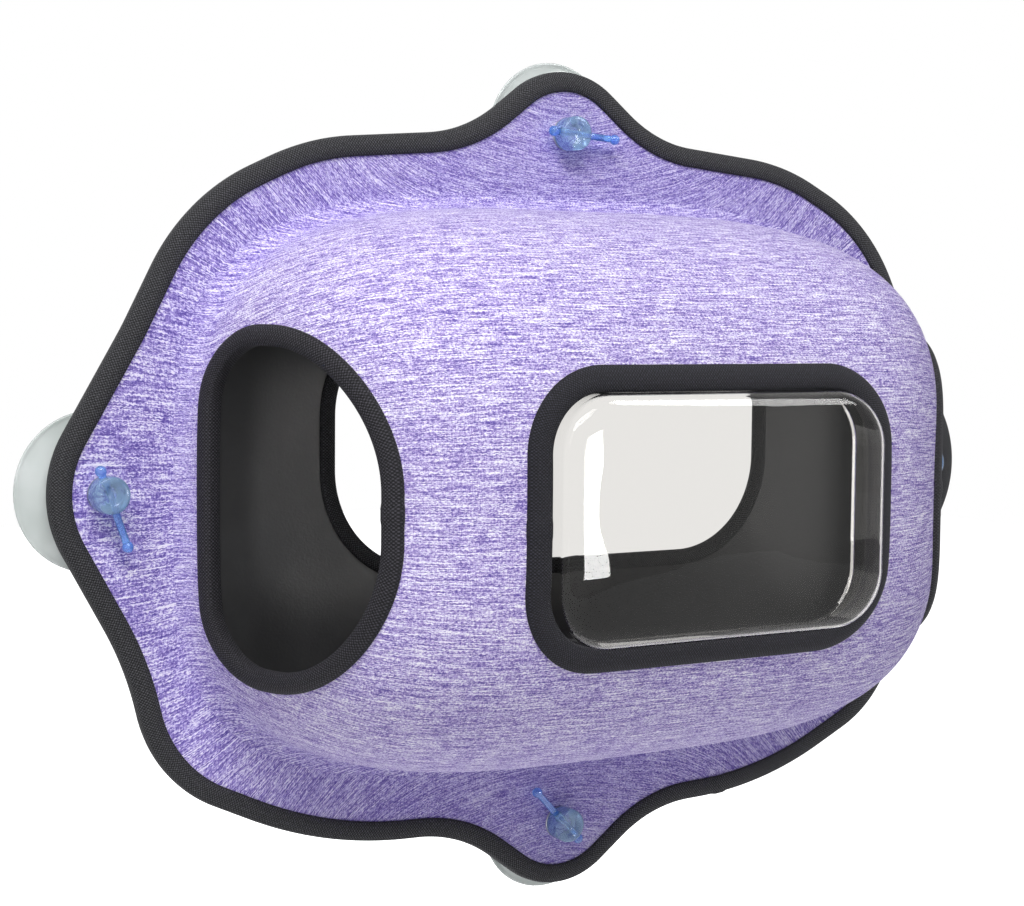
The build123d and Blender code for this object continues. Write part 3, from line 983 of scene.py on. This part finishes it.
for _ in range(smooth_rounds):
    apply_modifier(cushion, "SMOOTH", factor=0.5, iterations=4)
still = points_of(cushion)
blown = cushion.modifiers.new("blown", "CLOTH")
blown.settings.use_pressure = True
blown.settings.uniform_pressure_force = 4
blown.settings.effector_weights.gravity = 0
for step in range(1, blow_steps + 1):
    bpy.context.scene.frame_set(step)
bpy.ops.object.modifier_apply(modifier="blown")
bpy.context.scene.frame_set(1)
shift = points_of(cushion) - still
length = np.linalg.norm(shift, axis=1)[:, None]
moved = still + shift * np.minimum(1, cushion_travel / np.maximum(length, 1e-9))
own_depth = -moved[:, 1] - flange_front
half_a, half_b, power = bubble_section(own_depth, cushion_skin)
fullness = np.abs(moved[:, 0] / half_a) ** power + np.abs(moved[:, 2] / half_b) ** power
fullness = fullness ** (1 / power)
moved[:, 0] /= np.maximum(fullness, 1)
moved[:, 2] /= np.maximum(fullness, 1)
moved[:, 1] = np.clip(moved[:, 1], cushion_low.y, cushion_high.y)
cushion.data.vertices.foreach_set("co", moved.astype(np.float32).reshape(-1))
apply_modifier(cushion, "SUBSURF", levels=1, render_levels=1)
bpy.ops.object.shade_smooth()
plush, shader, node, feed = new_material("black_plush")
spot = node("TexCoord").outputs["Object"]
pile = node("TexNoise", Vector=spot, Scale=420.0, Detail=5.0, Roughness=0.75)
tuft = node("TexNoise", Vector=spot, Scale=60.0, Detail=3.0)
shade = toned(
    node, pile.outputs["Fac"], (0.3, 0.012, 0.012, 0.014), (0.8, 0.050, 0.049, 0.054)
)
feed(shader.inputs["Base Color"], shade)
feed(shader.inputs["Roughness"], 0.95)
feed(shader.inputs["Sheen Weight"], 0.3)
relief = node("Bump", Strength=0.8, Distance=0.0015, Height=pile.outputs["Fac"])
deeper = node("Bump", Strength=0.5, Distance=0.004, Height=tuft.outputs["Fac"])
feed(deeper.inputs["Normal"], relief.outputs["Normal"])
feed(shader.inputs["Normal"], deeper.outputs["Normal"])
cushion.data.materials.clear()
cushion.data.materials.append(plush)
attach(cushion, "cushion")
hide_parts("floor_cushion")


# Suction cups: each is moulded in one piece from soft clear vinyl, a dished lip with a round edge,
# a boss, and a neck and head that stand through the flange, the head bored for its pin.
cup_radius = 0.0455
cup_head_radius = 0.0105
cup_neck_radius = 0.0064
cup_collar_radius = 0.013
cup_boss_radius = 0.027
cup_boss_height = 0.0052
cup_hollow = 0.0032
cup_head_height = 0.013
cup_tint_depth = 0.002
eyelet_lip_height = 0.0012
eyelet_gap = 0.00025
head_foot = flange_front + eyelet_lip_height + eyelet_gap
head_top = head_foot + cup_head_height
collar_top = standoff - eyelet_lip_height - eyelet_gap
cup_profile = [
    (0, cup_hollow), (0.012, 0.0030), (0.024, 0.0021), (0.034, 0.0010), (0.0415, 0.0001),
    (0.0425, 0), (0.0444, 0), (0.0452, 0.0003), (cup_radius, 0.0008), (0.0452, 0.0013),
    (0.0445, 0.0015), (0.0436, 0.0013), (0.0425, 0.00125), (0.038, 0.0023), (0.033, 0.0037),
    (0.0295, 0.0047), (cup_boss_radius, cup_boss_height), (0.024, 0.0055), (0.0165, 0.0057),
    (0.0145, 0.0059), (cup_collar_radius, 0.0066), (cup_collar_radius, collar_top - 0.0005),
    (cup_collar_radius - 0.0005, collar_top), (cup_neck_radius + 0.0006, collar_top),
    (cup_neck_radius, collar_top + 0.0006), (cup_neck_radius, head_foot - 0.0003),
    (cup_head_radius - 0.0010, head_foot), (cup_head_radius - 0.0002, head_foot + 0.0006),
    (cup_head_radius, head_foot + 0.0016), (cup_head_radius, head_top - 0.0022),
    (cup_head_radius - 0.0003, head_top - 0.0010), (cup_head_radius - 0.0010, head_top - 0.0003),
    (cup_head_radius - 0.0020, head_top), (0.0062, head_top), (0.0056, head_top - 0.0003),
    (0.0050, head_top - 0.0009), (0, head_top - 0.0010),
]


turned_pitch = (0.01, 0.001)


def turned(name, profile, centre, around=72):
    """A turned piece about an axis through centre that runs from the glass into the room."""
    turns = np.linspace(0, 2 * math.pi, around + 1)
    rows, flats = [], []
    for i, (radius, height) in enumerate(profile):
        x, z = centre[0] + radius * np.cos(turns), centre[1] + radius * np.sin(turns)
        rows.append(np.stack([x, np.full(around + 1, -height), z], axis=1))
        flat_row = np.full(around + 1, i * turned_pitch[1])
        flats.append(np.stack([turns * turned_pitch[0], flat_row], axis=1))
    return strip_mesh(name, np.array(rows), np.array(flats))


def centre_of(node_name):
    low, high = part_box(node_name)
    return (low + high) / 2


vinyl, shader, node, feed = new_material("clear_vinyl")
spot = node("TexCoord").outputs["Object"]
cloud = node("TexNoise", Vector=spot, Scale=30.0, Detail=2.0)
tint = toned(node, cloud.outputs["Fac"], (0.3, 0.58, 0.63, 0.61), (0.7, 0.76, 0.80, 0.79))
level = node("SeparateXYZ", Vector=spot)
in_head = node(
    "MapRange", Value=level.outputs["Y"], From_Min=-flange_front,
    From_Max=-flange_front - cup_tint_depth,
)
bluish = node(
    "Mix", data_type="RGBA", Factor=in_head.outputs["Result"], A=tint, B=(0.36, 0.55, 0.80, 1)
)
# Painted shade: where the surface turns edge-on, the colour is mixed towards a dark grey. This
# paints a dark line in place of the refraction at the lip's round edge.
edge = node("LayerWeight", Blend=0.5)
painted_edge_shade = node(
    "MapRange", Value=edge.outputs["Facing"], From_Min=0.80, From_Max=0.97, To_Max=0.65
)
vinyl_with_painted_edge_shade = node(
    "Mix", data_type="RGBA", Factor=painted_edge_shade.outputs["Result"], A=bluish.outputs["Result"],
    B=(0.16, 0.20, 0.23, 1),
)
feed(shader.inputs["Base Color"], vinyl_with_painted_edge_shade.outputs["Result"])
feed(shader.inputs["Roughness"], 0.12)
clearness = node("MapRange", Value=in_head.outputs["Result"], To_Min=0.40, To_Max=0.70)
feed(shader.inputs["Transmission Weight"], clearness.outputs["Result"])
feed(shader.inputs["IOR"], 1.38)
bore_radius = 0.0022
bore_length = 0.026
cup_names = ("top", "bottom", "left", "right")
for name in cup_names:
    middle, pin = centre_of(f"{name}_suction_cup"), centre_of(f"{name}_lock_pin")
    cup = turned(f"{name}_cup", cup_profile, (middle.x, middle.z))
    bpy.ops.mesh.primitive_cylinder_add(vertices=32, radius=bore_radius, depth=bore_length)
    bore = bpy.context.object
    along = Vector((pin.x - middle.x, 0, pin.z - middle.z)).normalized()
    turn = along.to_track_quat("Z", "Y").to_matrix().to_4x4()
    bore.matrix_world = Matrix.Translation((middle.x, pin.y, middle.z)) @ turn
    apply_modifier(cup, "BOOLEAN", object=bore, operation="DIFFERENCE", solver="EXACT")
    bpy.data.objects.remove(bore)
    cup.data.materials.append(vinyl)
    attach(cup, f"{name}_cup")
    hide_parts(f"{name}_suction_cup")


# Eyelets: rolled metal grommets that line the flange's four holes. The cup's neck runs through
# each, and its lips hold the cover in front and the board behind.
eyelet_play = 0.00006
eyelet_wall = 0.0014
eyelet_lip_width = 0.0022
eyelet_bore = cup_neck_radius + eyelet_play
eyelet_out = eyelet_bore + eyelet_wall
eyelet_lip = eyelet_out + eyelet_lip_width
eyelet_back = standoff - eyelet_lip_height
eyelet_front = flange_front + eyelet_lip_height
eyelet_profile = [
    (eyelet_bore, standoff - 0.0009), (eyelet_bore + 0.0006, eyelet_back),
    (eyelet_lip - 0.0006, eyelet_back), (eyelet_lip, standoff - 0.0005),
    (eyelet_lip - 0.0002, standoff), (eyelet_out, standoff), (eyelet_out, flange_front),
    (eyelet_lip - 0.0002, flange_front), (eyelet_lip, flange_front + 0.0005),
    (eyelet_lip - 0.0006, eyelet_front), (eyelet_bore + 0.0006, eyelet_front),
    (eyelet_bore, flange_front + 0.0009), (eyelet_bore, standoff - 0.0009),
]
nickel, shader, node, feed = new_material("nickel")
spot = node("TexCoord").outputs["Object"]
dull = node("TexNoise", Vector=spot, Scale=300.0, Detail=3.0)
shade = toned(node, dull.outputs["Fac"], (0.0, 0.35, 0.35, 0.36), (1.0, 0.60, 0.60, 0.61))
feed(shader.inputs["Base Color"], shade)
feed(shader.inputs["Metallic"], 1.0)
feed(shader.inputs["Roughness"], 0.35)
for name in cup_names:
    middle = centre_of(f"{name}_eyelet")
    eyelet = turned(f"{name}_grommet", eyelet_profile, (middle.x, middle.z))
    eyelet.data.materials.append(nickel)
    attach(eyelet, "pod")
    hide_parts(f"{name}_eyelet")


# Lock pins: translucent blue rods with a ball at each end, pushed crosswise through the cups'
# heads. Each one's length and direction come from its solid's box.
pin_radius = 0.0021
pin_ball = 0.0032
blue, shader, node, feed = new_material("blue_plastic")
spot = node("TexCoord").outputs["Object"]
cloud = node("TexNoise", Vector=spot, Scale=120.0, Detail=2.0)
tint = toned(node, cloud.outputs["Fac"], (0.3, 0.16, 0.40, 0.92), (0.7, 0.34, 0.58, 0.99))
feed(shader.inputs["Base Color"], tint)
feed(shader.inputs["Roughness"], 0.1)
feed(shader.inputs["Transmission Weight"], 0.78)
for name in cup_names:
    cup_middle = centre_of(f"{name}_suction_cup")
    low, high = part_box(f"{name}_lock_pin")
    middle = (low + high) / 2
    along = Vector((middle.x - cup_middle.x, 0, middle.z - cup_middle.z)).normalized()
    if abs(along.x) > abs(along.z):
        half_length = (high.x - low.x - 2 * pin_ball) / 2 / abs(along.x)
    else:
        half_length = (high.z - low.z - 2 * pin_ball) / 2 / abs(along.z)
    neck = math.asin(pin_radius / pin_ball)
    swing = np.linspace(0, math.pi - neck, 11)
    ball = [(pin_ball * math.sin(a), half_length + pin_ball * math.cos(a)) for a in swing]
    profile = ball + [(r, -h) for r, h in reversed(ball)]
    pin = turned(f"{name}_pin", profile, (0, 0), 36)
    turn = Vector((0, -1, 0)).rotation_difference(along).to_matrix().to_4x4()
    pin.matrix_world = Matrix.Translation(middle) @ turn
    bpy.ops.object.transform_apply(location=True, rotation=True, scale=True)
    pin.data.materials.append(blue)
    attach(pin, f"{name}_pin")
    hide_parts(f"{name}_lock_pin")
